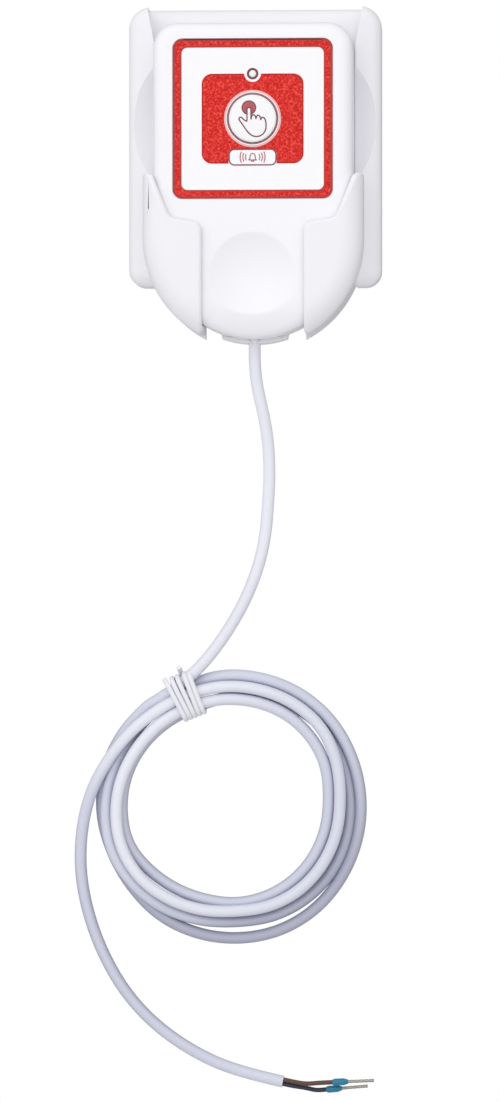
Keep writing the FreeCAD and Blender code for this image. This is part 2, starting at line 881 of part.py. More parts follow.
def inner_core(side):
    """One core from the stripped jacket up into its terminal."""
    low = inner_jacket_end()
    block_low = terminal_z() - terminal_height / 2
    x = side * terminal_width / 4
    start_x = side * core_spread
    return tube([
        (start_x, parting_y, low),
        (start_x * 1.1, parting_y + 0.1, low + inner_core_run),
        (x * 0.9, terminal_entry_y() - 0.2, block_low - inner_core_run),
        (x, terminal_entry_y(), block_low),
        (x, terminal_entry_y() + 0.02, block_low + inner_core_run),
    ], core_radius)


# Free end of the cable. Each core leaves the jacket's cut end straight, then takes its own way.

def core_route(start_offset, offsets):
    """Route of a core from offsets measured from the middle of the jacket's cut end."""
    end = point(*tail_points[-1])
    direction = (end - point(*tail_points[-2])).normalize()
    sideways = point(0, start_offset[0], start_offset[1])
    start = end + sideways - direction * sideways.dot(direction)
    spots = [start, start + direction * core_first_run]
    for offset in offsets:
        spots.append(end + point(*offset))
    return [(spot.x, spot.y, spot.z) for spot in spots]


def upper_core_points():
    """Route of the upper core from the jacket's end to its ferrule."""
    return core_route((-core_forward_offset, core_upward_offset),
                      [(6.6, -1.1, -0.5), (11.0, -1.2, -0.1), (14.2, -1.2, 0.05)])


def lower_core_points():
    """Route of the lower core from the jacket's end to its ferrule."""
    return core_route((core_forward_offset, -core_upward_offset),
                      [(6.0, 0.4, -1.7), (9.6, 0.5, -2.5), (12.4, 0.5, -2.25)])


def ferrule_frame(route):
    """Start and direction of a ferrule at the end of its core."""
    before = point(*route[-2])
    end = point(*route[-1])
    return end, (end - before).normalize()


def ferrule_collar(route):
    """Insulating collar: a short sleeve that tapers at both ends."""
    end, direction = ferrule_frame(route)
    radius = ferrule_collar_diameter / 2
    throat = core_radius + ferrule_throat_gap
    nose = ferrule_pin_diameter / 2 + ferrule_nose_gap
    body_length = ferrule_collar_length - ferrule_entry_length - ferrule_nose_length
    body_start = end + direction * ferrule_entry_length
    nose_start = body_start + direction * body_length
    collar = Part.makeCone(throat, radius, ferrule_entry_length, end, direction)
    collar = collar.fuse(Part.makeCylinder(radius, body_length, body_start, direction))
    collar = collar.fuse(Part.makeCone(radius, nose, ferrule_nose_length, nose_start, direction))
    return collar.removeSplitter()


def ferrule_pin(route):
    """Metal sleeve beyond the collar, waisted where the crimping jaws pressed it."""
    end, direction = ferrule_frame(route)
    start = end + direction * ferrule_collar_length
    radius = ferrule_pin_diameter / 2
    pin = Part.makeCylinder(radius, ferrule_pin_length, start, direction)
    for index in range(crimp_count):
        middle = start + direction * (crimp_start + crimp_pitch * index)
        pin = pin.cut(Part.makeTorus(radius + crimp_jaw_offset, crimp_jaw_radius, middle, direction))
    return pin


# Coil and tie

def cord_coil():
    """Outer shape of the coil: a ring of rounded section, drawn in under the tie."""
    section = Part.Wire([
        line(point(coil_inner_radius, -coil_back, 0), point(coil_outer_radius, -coil_back, 0)),
        line(point(coil_outer_radius, -coil_back, 0), point(coil_outer_radius, -coil_front, 0)),
        line(point(coil_outer_radius, -coil_front, 0), point(coil_inner_radius, -coil_front, 0)),
        line(point(coil_inner_radius, -coil_front, 0), point(coil_inner_radius, -coil_back, 0)),
    ])
    neck = Part.Wire([
        line(point(tie_neck_inner, -tie_neck_back, 0), point(tie_neck_outer, -tie_neck_back, 0)),
        line(point(tie_neck_outer, -tie_neck_back, 0), point(tie_neck_outer, -tie_neck_front, 0)),
        line(point(tie_neck_outer, -tie_neck_front, 0), point(tie_neck_inner, -tie_neck_front, 0)),
        line(point(tie_neck_inner, -tie_neck_front, 0), point(tie_neck_inner, -tie_neck_back, 0)),
    ])
    open_angle = 360 - 2 * tie_neck_angle
    ring = Part.Face(section).revolve(point(0, 0, 0), point(0, 1, 0), open_angle)
    long_edges = [edge for edge in ring.Edges if not is_straight(edge)]
    ring = ring.makeFillet(coil_rounding, long_edges)
    ring.rotate(point(0, 0, 0), point(0, 1, 0), -tie_angle - open_angle - tie_neck_angle)
    waist = Part.Face(neck).revolve(point(0, 0, 0), point(0, 1, 0), 2 * (tie_neck_angle + tie_neck_overlap))
    waist_edges = [edge for edge in waist.Edges if not is_straight(edge)]
    waist = waist.makeFillet(tie_neck_rounding, waist_edges)
    waist.rotate(point(0, 0, 0), point(0, 1, 0), -tie_angle - tie_neck_angle - tie_neck_overlap)
    coil = ring.fuse(waist)
    coil.translate(point(coil_centre_x, 0, coil_centre_z))
    return coil.removeSplitter()


def is_straight(edge):
    """True for a straight edge."""
    return edge.Curve.TypeId == "Part::GeomLine"


def cord_tie():
    """Wire tie: turns of thin wire round the coil's waist."""
    middle_radius = (tie_neck_inner + tie_neck_outer) / 2
    half_width = (tie_neck_outer - tie_neck_inner) / 2 + tie_wire / 2 + tie_gap
    front = -tie_neck_front - tie_wire / 2 - tie_gap
    back = -tie_neck_back + tie_wire / 2 + tie_gap
    turns = []
    for index in range(tie_turns):
        shift = (index - (tie_turns - 1) / 2) * tie_pitch
        loop = rounded_polygon([
            (half_width, back, tie_corner),
            (half_width, front, tie_corner),
            (-half_width, front, tie_corner),
            (-half_width, back, tie_corner),
        ], 0)
        loop.rotate(point(0, 0, 0), point(1, 0, 0), -90)
        turns.append((shift, loop))
    solids = []
    for shift, loop in turns:
        solid = loop.makePipeShell([ring_at(loop.Edges[1], tie_wire / 2)], True, True)
        solid.translate(point(middle_radius, 0, shift))
        solid.rotate(point(0, 0, 0), point(0, 1, 0), -tie_angle)
        solid.translate(point(coil_centre_x, 0, coil_centre_z))
        solids.append(solid)
    return Part.makeCompound(solids)


# Wall holder

def holder_block():
    """Base of the holder: a block with a crowned front and rounded edges."""
    corners = rectangle(holder_width, holder_height, 0, holder_top_corner, holder_bottom_corner)
    block = slab(corners, -rail_front - reach, 0)
    inner_edge = channel_width / 2
    crown_y = math.sqrt(rail_crown_radius ** 2 - inner_edge ** 2) - rail_front
    crown_foot = point(0, crown_y, -holder_height / 2 - reach)
    crown = Part.makeCylinder(rail_crown_radius, holder_height + 2 * reach, crown_foot, point(0, 0, 1))
    block = block.common(crown)
    rim = edges_within(block, lambda spot: spot.y < -rail_rounding)
    return block.makeFillet(rail_rounding, rim)


def channel(back):
    """Channel for the handset, open to the front from the depth given: sloped sides, flared at the top."""
    steep = channel_side_slope / (rail_front - holder_floor)
    far = rail_front + reach
    half_back = channel_width / 2 + steep * (back - rail_front)
    half_far = channel_width / 2 + steep * (far - rail_front)
    section = [
        (half_back, -back),
        (half_far, -far),
        (-half_far, -far),
        (-half_back, -back),
    ]

    def section_wire(z, widen):
        spots = [point(x + widen * (1 if x > 0 else -1), y, z) for x, y in section]
        return Part.Wire([line(start, end) for start, end in zip(spots, spots[1:] + spots[:1])])

    top = holder_height / 2
    straight = Part.makeLoft([section_wire(-top - reach, 0), section_wire(top + reach, 0)], True, True)
    low = top - lead_in_height
    flare = Part.makeLoft([section_wire(low, 0), section_wire(top, lead_in_width)], True, True)
    return straight.fuse(flare)


def floor_edge():
    """What rounding takes off the floor's upper edge, from rail to rail."""
    top = holder_height / 2
    half = holder_width / 2
    back = floor_rounding - holder_floor
    centre = point(-half, back, top - floor_rounding)
    bar = box((-half, half), (-holder_floor - overcut, back), (top - floor_rounding, top + overcut))
    bar = bar.cut(Part.makeCylinder(floor_rounding, holder_width, centre, point(1, 0, 0)))
    return bar.common(channel(0))


def floor_foot():
    """What is open at the floor's lower edge, with slanted ends that clip the rails' inner corners."""
    top = foot_notch - holder_height / 2
    out = foot_notch_half + foot_notch_slope * reach
    corners = [
        (out, top - reach, 0),
        (foot_notch_half, top, foot_notch_corner),
        (-foot_notch_half, top, foot_notch_corner),
        (-out, top - reach, 0),
    ]
    return slab(corners, -rail_front - reach, overcut)


def rounded_rails():
    """Holder block with its channel, the channel's front edges rounded up to the flare."""
    block = holder_block().cut(channel(holder_floor))
    inner = channel_width / 2

    def on_front_edge(spot):
        return abs(abs(spot.x) - inner) < near and abs(spot.y + rail_front) < near

    edges = edges_within(block, on_front_edge)
    edges = [edge for edge in edges if edge.BoundBox.ZLength > holder_height / 2]
    block = block.makeFillet(channel_edge_rounding, edges)
    return block.cut(floor_edge()).cut(floor_foot())


def finger_scoop(side):
    """Ball that dishes a rail, so that two fingers reach the handset's sides."""
    rim_radius = scoop_reach - scoop_offset
    rise = math.sqrt(scoop_radius ** 2 - rim_radius ** 2)
    centre = point(side * scoop_offset, scoop_sink - rail_front - rise, scoop_height)
    return Part.makeSphere(scoop_radius, centre)


def back_hollows():
    """Hollows moulded into the back: one up each rail and four round the ribs behind the floor."""
    foot = channel_width / 2 - channel_side_slope
    tall = holder_height / 2 - back_rim
    hollows = box((-foot, foot), (-back_pocket_depth, overcut), (foot_notch - tall, tall))
    hollows = hollows.cut(box((-back_rib / 2, back_rib / 2), (-back_pocket_depth, overcut), (-tall, tall)))
    hollows = hollows.cut(box((-foot, foot), (-back_pocket_depth, overcut), (-back_rib / 2, back_rib / 2)))
    for z in (-wall_screw_spacing / 2, wall_screw_spacing / 2):
        hollows = hollows.cut(rod(0, z, screw_boss_radius, -back_pocket_depth, overcut))
    for side in (-1, 1):
        inner = side * (foot + rail_wall)
        outer = side * (holder_width / 2 - rail_wall)
        ends = holder_height / 2 - rail_rounding - rail_wall
        across = (min(inner, outer), max(inner, outer))
        hollows = hollows.fuse(box(across, (-rail_core_depth, overcut), (-ends, ends)))
    return hollows


def cradle_window(y_front, y_rear):
    """What is open in the cradle: all above the wings' rims, and the slot between them."""
    half = slot_width / 2
    out_x = horn_x + reach
    out_z = horn_z - reach * horn_fall
    low = handset_bottom - reach
    high = handset_top + reach
    corners = [
        (half, low, 0),
        (half, wing_slot_z, slot_corner),
        (wing_shoulder_x, wing_shoulder_z, shoulder_rounding),
        (horn_x, horn_z, horn_rounding),
        (out_x, out_z, 0),
        (out_x, high, 0),
        (-out_x, high, 0),
        (-out_x, out_z, 0),
        (-horn_x, horn_z, horn_rounding),
        (-wing_shoulder_x, wing_shoulder_z, shoulder_rounding),
        (-half, wing_slot_z, slot_corner),
        (-half, low, 0),
    ]
    return slab(corners, y_front, y_rear)


def cradle():
    """Pouch that follows the handset's foot, open above and down its middle."""
    outer = handset_form(cradle_gap + cradle_wall, 0)
    window = cradle_window(front_y - reach, window_root - holder_floor)
    wings = outer.cut(window)
    rim_front = front_y + handset_edge
    rim = edges_within(wings, lambda spot: spot.y < rim_front and on_window_edge(spot, window))
    wings = wings.makeFillet(wing_rim_rounding, rim)
    low = foot_notch - holder_height / 2
    slot = box((-slot_width / 2, slot_width / 2), (-holder_floor - overcut, overcut),
               (handset_bottom - reach, low))
    return wings.cut(slot)


def on_window_edge(spot, window):
    """True for a point on the window's own outline."""
    return window.distToShape(Part.Vertex(spot))[0] < near


def holder():
    """The whole holder, moulded in one piece."""
    block = rounded_rails()
    for side in (-1, 1):
        block = block.cut(finger_scoop(side))
    shape = block.fuse(cradle())
    shape = shape.cut(handset_form(cradle_gap, -holder_floor))
    shape = shape.cut(back_hollows())
    for z in (-wall_screw_spacing / 2, wall_screw_spacing / 2):
        shape = shape.cut(rod(0, z, wall_screw_hole / 2, -holder_floor - overcut, overcut))
        sink = Part.makeCone(wall_screw_head / 2, wall_screw_hole / 2, wall_screw_sink,
                             point(0, -holder_floor, z), point(0, 1, 0))
        shape = shape.cut(sink)
    return shape.removeSplitter()


def build():
    """Make every piece and write one file for each."""
    os.makedirs("parts", exist_ok=True)
    body = handset_body()
    cavity = handset_cavity()
    pieces = {
        "holder": holder(),
        "front_shell": front_shell(body, cavity),
        "rear_shell": rear_shell(body, cavity),
        "front_label": front_label(),
        "label_print": label_print_fields(),
        "call_button": call_button(),
        "switch_plunger": switch_plunger(),
        "switch_body": switch_body(),
        "light_pipe": light_pipe(),
        "indicator_led": indicator_led(),
        "circuit_board": circuit_board(),
        "resistors": resistors(),
        "terminal_block": terminal_block(),
        "terminal_screws": terminal_screws(),
        "board_screws": Part.makeCompound([small_screw(x, z, board_rear_y, board_screw_length)
                                           for x, z in board_screw_places()]),
        "shell_screws": Part.makeCompound([shell_screw(x, z) for x, z in shell_screw_places()]),
        "cable_bush": cable_bush(),
        "cable_clamp": cable_clamp(),
        "clamp_screws": Part.makeCompound([small_screw(x, clamp_z, clamp_bar_rear(), clamp_screw_length)
                                           for x in (-clamp_screw_x, clamp_screw_x)]),
        "cable_inner_end": cable_inner_end(),
        "inner_core_brown": inner_core(1),
        "inner_core_dark": inner_core(-1),
        "cord_lead": tube(lead_points, cable_radius, "lead"),
        "cord_coil": cord_coil(),
        "cord_tail": tube(tail_points, cable_radius, "tail"),
        "cord_tie": cord_tie(),
        "core_brown": tube(upper_core_points(), core_radius, "upper core"),
        "core_dark": tube(lower_core_points(), core_radius, "lower core"),
        "ferrule_collar_upper": ferrule_collar(upper_core_points()),
        "ferrule_collar_lower": ferrule_collar(lower_core_points()),
        "ferrule_pin_upper": ferrule_pin(upper_core_points()),
        "ferrule_pin_lower": ferrule_pin(lower_core_points()),
    }
    for name, shape in pieces.items():
        state = "valid" if shape.isValid() else "NOT VALID"
        print(name, len(shape.Solids), "solids", round(shape.Volume, 1), "mm3", state)
        shape.exportStep("parts/" + name + ".step")


build()
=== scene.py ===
# %% [markdown]
# # A corded call button in its wall holder
# This lesson dresses a finished CAD model of a call button handset. The handset rests in a white wall holder,
# and its pale two-core cable hangs down into a tied coil with a bare, ferruled end. The CAD pieces already have
# their true size and place, so the lesson adds what a camera sees: the cable's own line, the wire tie, the print
# and the sign on the button, and the skin of every plastic, rubber and metal piece.

# %% Load the CAD model
import math

import bmesh
import bpy
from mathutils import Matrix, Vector


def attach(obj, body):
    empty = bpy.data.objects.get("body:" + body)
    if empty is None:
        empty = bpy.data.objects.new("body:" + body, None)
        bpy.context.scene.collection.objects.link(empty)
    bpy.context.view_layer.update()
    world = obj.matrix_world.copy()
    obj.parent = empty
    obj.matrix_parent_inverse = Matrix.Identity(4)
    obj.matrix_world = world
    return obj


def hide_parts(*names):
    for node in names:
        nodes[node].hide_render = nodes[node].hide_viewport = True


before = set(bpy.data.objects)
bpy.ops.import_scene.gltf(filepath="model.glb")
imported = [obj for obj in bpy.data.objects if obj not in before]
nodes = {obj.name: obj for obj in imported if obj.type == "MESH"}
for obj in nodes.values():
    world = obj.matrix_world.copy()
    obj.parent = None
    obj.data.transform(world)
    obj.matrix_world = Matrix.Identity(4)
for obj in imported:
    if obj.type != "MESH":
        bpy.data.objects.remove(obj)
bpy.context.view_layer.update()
MM = 0.001

# %% [markdown]
# ## The camera
# The photograph looks straight at the handset from a little over a metre, slightly from the right. A long lens
# keeps the sides of the holder nearly parallel. The lens is given by the frame's height: a sensor as tall as the
# picture, with a focal length of 4200 picture rows on a picture of 1101 rows.

# %% Place the camera
PICTURE_ROWS = 1101
FOCAL_ROWS = 4200
SENSOR_HEIGHT = 36.0
NEAREST, FARTHEST = 0.05, 20.0
VIEW_TURN = math.radians(2.5)
VIEW_DISTANCE = 1.2
VIEW_TARGET = Vector((-1.5, -9.0, -115.4)) * MM


def add_object(name, data):
    """Put a camera, lamp, curve or mesh into the scene."""
    thing = bpy.data.objects.new(name, data)
    bpy.context.scene.collection.objects.link(thing)
    return thing


def aim(thing, direction):
    """Turn a camera or lamp to look along a direction."""
    thing.rotation_mode = "QUATERNION"
    thing.rotation_quaternion = direction.to_track_quat("-Z", "Y")


view_direction = Vector((-math.sin(VIEW_TURN), math.cos(VIEW_TURN), 0))
camera_data = bpy.data.cameras.new("camera")
camera_data.sensor_fit = "VERTICAL"
camera_data.sensor_height = SENSOR_HEIGHT
camera_data.lens = SENSOR_HEIGHT * FOCAL_ROWS / PICTURE_ROWS
camera_data.clip_start = NEAREST
camera_data.clip_end = FARTHEST
camera = add_object("camera", camera_data)
camera.location = VIEW_TARGET - view_direction * VIEW_DISTANCE
aim(camera, view_direction)
bpy.context.scene.camera = camera
print("lens", round(camera_data.lens, 1), "mm at", VIEW_DISTANCE, "m")

# %% [markdown]
# ## The cable's free stretches
# A cable of fixed length runs from the chin to the coil, four times round, and on to its cut end. One smooth
# curve does it all. Above and below the coil it hangs in lazy bends, which no formula gives, so these stretches
# follow a few listed points, close to the CAD tube's.

# %% The free stretches
CABLE_DIAMETER = 3.4

lead_points = [
    (0.0, -12.0, -56.8),
    (-0.1, -12.1, -62.5),
    (0.9, -11.4, -70.0),
    (2.6, -10.1, -77.2),
    (3.8, -9.0, -85.0),
    (4.1, -8.0, -94.0),
    (3.6, -7.5, -102.5),
    (2.9, -7.2, -111.0),
    (0.9, -6.9, -120.0),
    (-2.9, -6.6, -129.7),
    (-8.2, -6.5, -138.9),
    (-14.2, -6.7, -147.0),
    (-20.4, -6.6, -153.0),
    (-28.0, -5.0, -158.2),
]
tail_points = [
    (-45.6, -5.6, -180.4),
    (-49.0, -4.2, -189.5),
    (-50.6, -3.4, -199.5),
    (-50.4, -3.1, -210.0),
    (-47.9, -3.0, -221.5),
    (-43.5, -3.0, -232.6),
    (-37.4, -3.1, -242.8),
    (-29.0, -3.2, -251.8),
    (-18.0, -3.6, -259.4),
    (-5.6, -4.2, -264.8),
    (7.8, -5.0, -267.6),
]
print("free stretches:", len(lead_points), "and", len(tail_points), "points")

# %% [markdown]
# ## The coil
# A coil wound by hand is no true ring. Its turns swell, narrow and cross, and only the tie holds them together. A
# spiral would look machine-made, so a table gives the cable's radius and depth wherever a turn can be seen to
# change. The loop eases from one row of the table to the next and puts a point every 18 degrees. A curve of this
# kind passes inside its points, so the points lie on a slightly larger radius than the cable.

# %% The coil's turns
TIE_ANGLE = 112.0
COIL_CENTRE = (-7.7, -188.4)
COIL_STEP = 18.0
CURVE_INSET = 0.75 + 0.25 * math.cos(math.radians(COIL_STEP))
# Running angle from the right-hand side in degrees, radius, and depth in front of the wall.
coil_keys = [
    (112, 36.8, 6.2), (130, 36.5, 4.4), (150, 36.8, 3.0), (180, 36.8, 2.2), (210, 36.2, 2.0), (240, 37.6, 2.0),
    (270, 38.4, 2.0), (300, 38.9, 2.0), (330, 38.2, 2.0), (345, 37.9, 2.2), (375, 37.6, 2.9), (405, 37.9, 3.6),
    (450, 37.3, 4.8), (472, 35.7, 3.0),
    (490, 34.3, 2.6), (510, 34.2, 3.3), (540, 35.4, 4.4), (565, 36.1, 4.8), (590, 35.3, 4.0), (610, 34.2, 3.0),
    (630, 33.4, 2.3), (665, 34.7, 2.1), (690, 35.1, 2.1), (720, 34.6, 2.1), (765, 34.7, 2.1), (790, 32.6, 2.2),
    (810, 30.6, 2.4), (832, 29.4, 3.0),
    (900, 30.9, 3.2), (917, 31.4, 3.2), (940, 29.6, 3.0), (970, 27.9, 3.3), (1000, 28.3, 3.3), (1080, 28.4, 3.4),
    (1112, 30.3, 4.4), (1130, 30.8, 5.0), (1170, 30.4, 6.1), (1192, 30.3, 6.8),
    (1230, 30.9, 6.9), (1260, 32.3, 6.9), (1285, 33.1, 6.8), (1305, 32.8, 6.6), (1320, 31.7, 6.4),
    (1350, 30.1, 6.0), (1380, 31.2, 5.7), (1395, 31.6, 5.6), (1440, 31.7, 5.4), (1485, 34.7, 5.8),
    (1530, 34.1, 6.6), (1552, 33.7, 7.0), (1576, 34.0, 6.9), (1600, 36.9, 6.2),
]


def ease(share):
    """Smooth step from 0 to 1."""
    return share * share * (3 - 2 * share)


def coil_point(angle):
    """Point of the coil at a running angle in degrees."""
    for (a, r_a, d_a), (b, r_b, d_b) in zip(coil_keys, coil_keys[1:]):
        if a <= angle <= b:
            share = ease((angle - a) / (b - a))
            radius = (r_a + (r_b - r_a) * share) / CURVE_INSET
            depth = d_a + (d_b - d_a) * share
            turn = math.radians(angle)
            return (COIL_CENTRE[0] + radius * math.cos(turn), -depth, COIL_CENTRE[1] + radius * math.sin(turn))
    raise ValueError(angle)


coil_points = []
angle = TIE_ANGLE + COIL_STEP
while angle < coil_keys[-1][0] - COIL_STEP / 4:
    coil_points.append(coil_point(angle))
    angle += COIL_STEP
print("coil points:", len(coil_points))

# %% [markdown]
# ## From points to a tube
# A NURBS curve with a round bevel makes a tube that stays smooth in every bend, and moving a point is all it takes
# to change it. A swept mesh would look the same and be harder to correct. The curve replaces the three plain CAD
# pieces that stood for the cable.

# %% Make the cable
TUBE_ROUNDNESS = 6


def smooth_curve(name, points, diameter, steps):
    """One open, smooth tube near points in millimetres. Each point's radius turns the bevel into metres."""
    data = bpy.data.curves.new(name, "CURVE")
    data.dimensions = "3D"
    spline = data.splines.new("NURBS")
    spline.points.add(len(points) - 1)
    for spot, place in zip(spline.points, points):
        spot.co = (place[0] * MM, place[1] * MM, place[2] * MM, 1.0)
        spot.radius = MM
    spline.order_u = 3
    spline.use_endpoint_u = True
    data.resolution_u = steps
    data.bevel_depth = diameter / 2
    data.bevel_resolution = TUBE_ROUNDNESS
    data.use_fill_caps = True
    return add_object(name, data)


cable = smooth_curve("cable", lead_points + coil_points + tail_points, CABLE_DIAMETER, steps=8)
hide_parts("cord_lead", "cord_coil", "cord_tail")
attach(cable, "body")
print("cable made")

# %% [markdown]
# ## The tie
# A stiff white wire is wound round the coil's waist five times, each turn beside the last, with both ends
# standing out at the top. Five separate rings would show no winding, so it is one curve, like the cable. Its
# points are given in the waist's own frame: outwards from the coil's middle, along the coil, and depth.

# %% Make the tie
TIE_WIRE = 1.4
TIE_IN, TIE_OUT = 27.4, 39.75
TIE_FRONT, TIE_BACK = -9.35, -0.95
TIE_CUT = 1.7
# Where each turn lies along the coil as it crosses the front: at the top and at the foot.
tie_turns = [(3.1, 2.2), (1.55, 0.8), (-0.1, -0.6), (-2.2, -2.0), (-3.6, -3.4)]
tie_start = [(40.3, 3.5, -7.6), (39.3, 3.3, -8.7)]
tie_end = [(37.8, -1.2, TIE_BACK), (40.2, -1.2, -1.6), (42.0, -1.3, -3.6)]


def tie_point(outward, along, depth):
    """Point in the waist's frame, in millimetres."""
    turn = math.radians(TIE_ANGLE)
    x = COIL_CENTRE[0] + outward * math.cos(turn) - along * math.sin(turn)
    z = COIL_CENTRE[1] + outward * math.sin(turn) + along * math.cos(turn)
    return (x, depth, z)


wound = list(tie_start)
for index, (top, foot) in enumerate(tie_turns):
    wound += [(TIE_OUT - TIE_CUT, top, TIE_FRONT), (TIE_IN + TIE_CUT, foot, TIE_FRONT),
              (TIE_IN, foot, TIE_FRONT + TIE_CUT), (TIE_IN, foot, TIE_BACK - TIE_CUT),
              (TIE_IN + TIE_CUT, foot, TIE_BACK)]
    if index < len(tie_turns) - 1:
        following = tie_turns[index + 1][0]
        wound += [(TIE_OUT - TIE_CUT, following, TIE_BACK), (TIE_OUT, following, TIE_BACK - TIE_CUT),
                  (TIE_OUT, following, TIE_FRONT + TIE_CUT)]
wound += tie_end
tie = smooth_curve("tie_wire", [tie_point(*spot) for spot in wound], TIE_WIRE, steps=6)
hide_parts("cord_tie")
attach(tie, "body")
print("tie points:", len(wound))

# %% [markdown]
# ## The cord's parts
# The tie, the two cores and their ferrules belong to the cable.

# %% [markdown]
# ## Sums with sockets
# A finish is a small network of nodes. Written out link by link it is hard to read, so a short class lets a
# socket take part in sums: `1 - mask` or `grain * 0.2 + 0.5` adds its own Math nodes.


# %% The class for sums
class Signal:
    """A number that varies over a surface, ready for sums."""

    def __init__(self, finish, socket):
        self.finish = finish
        self.socket = socket

    def combine(self, operation, first, second):
        node = self.finish.node("ShaderNodeMath", {"operation": operation}, {0: first, 1: second})
        return Signal(self.finish, node.outputs[0])

    def __add__(self, other):
        return self.combine("ADD", self, other)

    def __radd__(self, other):
        return self.combine("ADD", other, self)

    def __sub__(self, other):
        return self.combine("SUBTRACT", self, other)

    def __rsub__(self, other):
        return self.combine("SUBTRACT", other, self)

    def __mul__(self, other):
        return self.combine("MULTIPLY", self, other)

    def __rmul__(self, other):
        return self.combine("MULTIPLY", other, self)

    def above(self, level):
        return self.combine("GREATER_THAN", self, level)


print("sums ready")

# %% [markdown]
# ## Words for finishes
# Everything else goes through one method that takes the kind of node, its settings and what its sockets get. A
# few short words, such as noise, mix, ramp and bump, are built on it, and a finish is then written in those.


# %% The class for finishes
class Finish:
    """A material under construction."""

    def __init__(self, name):
        self.material = bpy.data.materials.new(name)
        self.material.use_nodes = True
        self.tree = self.material.node_tree
        self.shader = self.tree.nodes["Principled BSDF"]

    def node(self, kind, settings=None, inputs=None):
        """Add a node: its settings first, then a value or a link for each socket."""
        node = self.tree.nodes.new(kind)
        for key, value in (settings or {}).items():
            if key == "stops":
                ramp = node.color_ramp
                while len(ramp.elements) < len(value):
                    ramp.elements.new(0.5)
                for element, (place, colour) in zip(ramp.elements, value):
                    element.position = place
                    element.color = (*colour, 1.0)
            else:
                setattr(node, key, value)
        for key, value in (inputs or {}).items():
            self.feed(node.inputs[key], value)
        return node

    def feed(self, socket, value):
        """Set or link one socket."""
        if isinstance(value, Signal):
            value = value.socket
        if isinstance(value, bpy.types.NodeSocket):
            self.tree.links.new(value, socket)
        elif isinstance(value, tuple) and len(value) == 3 and socket.type == "RGBA":
            socket.default_value = (*value, 1.0)
        else:
            socket.default_value = value

    def set(self, **inputs):
        """Set or link sockets of the surface shader."""
        for key, value in inputs.items():
            self.feed(self.shader.inputs[key.replace("_", " ")], value)

    def place(self):
        """Where a point is on the piece, in metres."""
        return self.node("ShaderNodeTexCoord").outputs["Object"]

    def along(self, axis):
        """How far a point is along one axis, in metres."""
        return Signal(self, self.node("ShaderNodeSeparateXYZ", {}, {0: self.place()}).outputs[axis])

    def noise(self, scale, detail=2.0, roughness=0.5, stretch=None):
        """Cloudy noise between 0 and 1. The scale is in cells per metre."""
        place = self.place()
        if stretch:
            place = self.node("ShaderNodeMapping", {}, {"Vector": place, "Scale": stretch}).outputs[0]
        node = self.node("ShaderNodeTexNoise", {}, {"Vector": place, "Scale": scale, "Detail": detail,
                                                    "Roughness": roughness})
        return Signal(self, node.outputs["Fac"])

    def mix(self, share, first, second, blend="MIX"):
        """Blend of two colours."""
        settings = {"data_type": "RGBA", "blend_type": blend}
        return self.node("ShaderNodeMix", settings, {0: share, 6: first, 7: second}).outputs[2]

    def ramp(self, signal, stops):
        """Colour from a number through a list of stops."""
        return self.node("ShaderNodeValToRGB", {"stops": stops}, {0: signal}).outputs[0]

    def bump(self, height, strength, distance):
        """Relief from a height signal."""
        node = self.node("ShaderNodeBump", {}, {"Strength": strength, "Distance": distance, "Height": height})
        return node.outputs[0]


print("finishes ready")

# %% [markdown]
# ## Plastic skins
# The holder and the handset are moulded in one white plastic with a faint cool tint and a fine satin grain from
# the mould. Two sizes of noise do it: a broad one that shifts the colour a little, as handling and the flow of
# the melt do, and a fine one that breaks the gloss. Thin white plastic lets some light through, but true
# scattering is slower and pales the whole piece. So a painted glow, a faint emission on the handset's sides
# behind the rails, keeps the narrow gap between the handset and a rail from going black.

# %% Moulded plastics
PLASTIC_SPECULAR = 0.42
FLOW_SCALE, FLOW_SHADE = 38.0, 0.012
GRAIN_SCALE, GRAIN_HEIGHT, GRAIN_GLOSS = 2600.0, 0.00002, 0.10
SIDE_X = 0.0279
RAIL_FRONT_Y = -0.0085
PAINTED_SIDE_GLOW = (0.45, 0.45, 0.468)
BLACK = (0.0, 0.0, 0.0)


def moulded(name, colour, roughness, painted_glow_sides=False):
    """Moulded plastic with a broad tint and a fine grain, and perhaps a painted glow on the sides behind the rails.
    """
    finish = Finish(name)
    flow = finish.noise(FLOW_SCALE, 3.0)
    grain = finish.noise(GRAIN_SCALE, 2.0)
    darker = tuple(part - FLOW_SHADE for part in colour)
    finish.set(Base_Color=finish.mix(flow, darker, colour), Specular_IOR_Level=PLASTIC_SPECULAR,
               Roughness=grain * GRAIN_GLOSS + (roughness - GRAIN_GLOSS / 2),
               Normal=finish.bump(grain, 0.35, GRAIN_HEIGHT))
    # Painted glow: a faint emission on the handset's sides behind the rails lights the gap to the rail.
    if painted_glow_sides:
        across = finish.along("X")
        behind = (across * across).above(SIDE_X ** 2) * finish.along("Y").above(RAIL_FRONT_Y)
        finish.set(Emission_Color=finish.mix(behind, BLACK, PAINTED_SIDE_GLOW), Emission_Strength=1.0)
    return finish.material


holder_skin = moulded("holder_white", (0.885, 0.88, 0.915), 0.46)
shell_skin = moulded("shell_white", (0.925, 0.92, 0.955), 0.42, painted_glow_sides=True)
button_skin = moulded("button_white", (0.93, 0.93, 0.95), 0.38)
clamp_skin = moulded("clamp_white", (0.80, 0.80, 0.81), 0.5)
switch_skin = moulded("switch_black", (0.02, 0.02, 0.022), 0.42)
terminal_skin = moulded("terminal_green", (0.02, 0.16, 0.06), 0.45)
print("plastics made")

# %% [markdown]
# ## Label film and print
# The label is a thin satin film. Its red was screen-printed: up close the ink is mottled, with lighter and
# darker specks well under a millimetre across. Two noises added and sent through a ramp give that mottle, where
# one alone looks like sand. The thin lines are too narrow for a mottle and get one colour with a faint cloud.

# %% Film and ink
INK_SPECULAR = 0.25

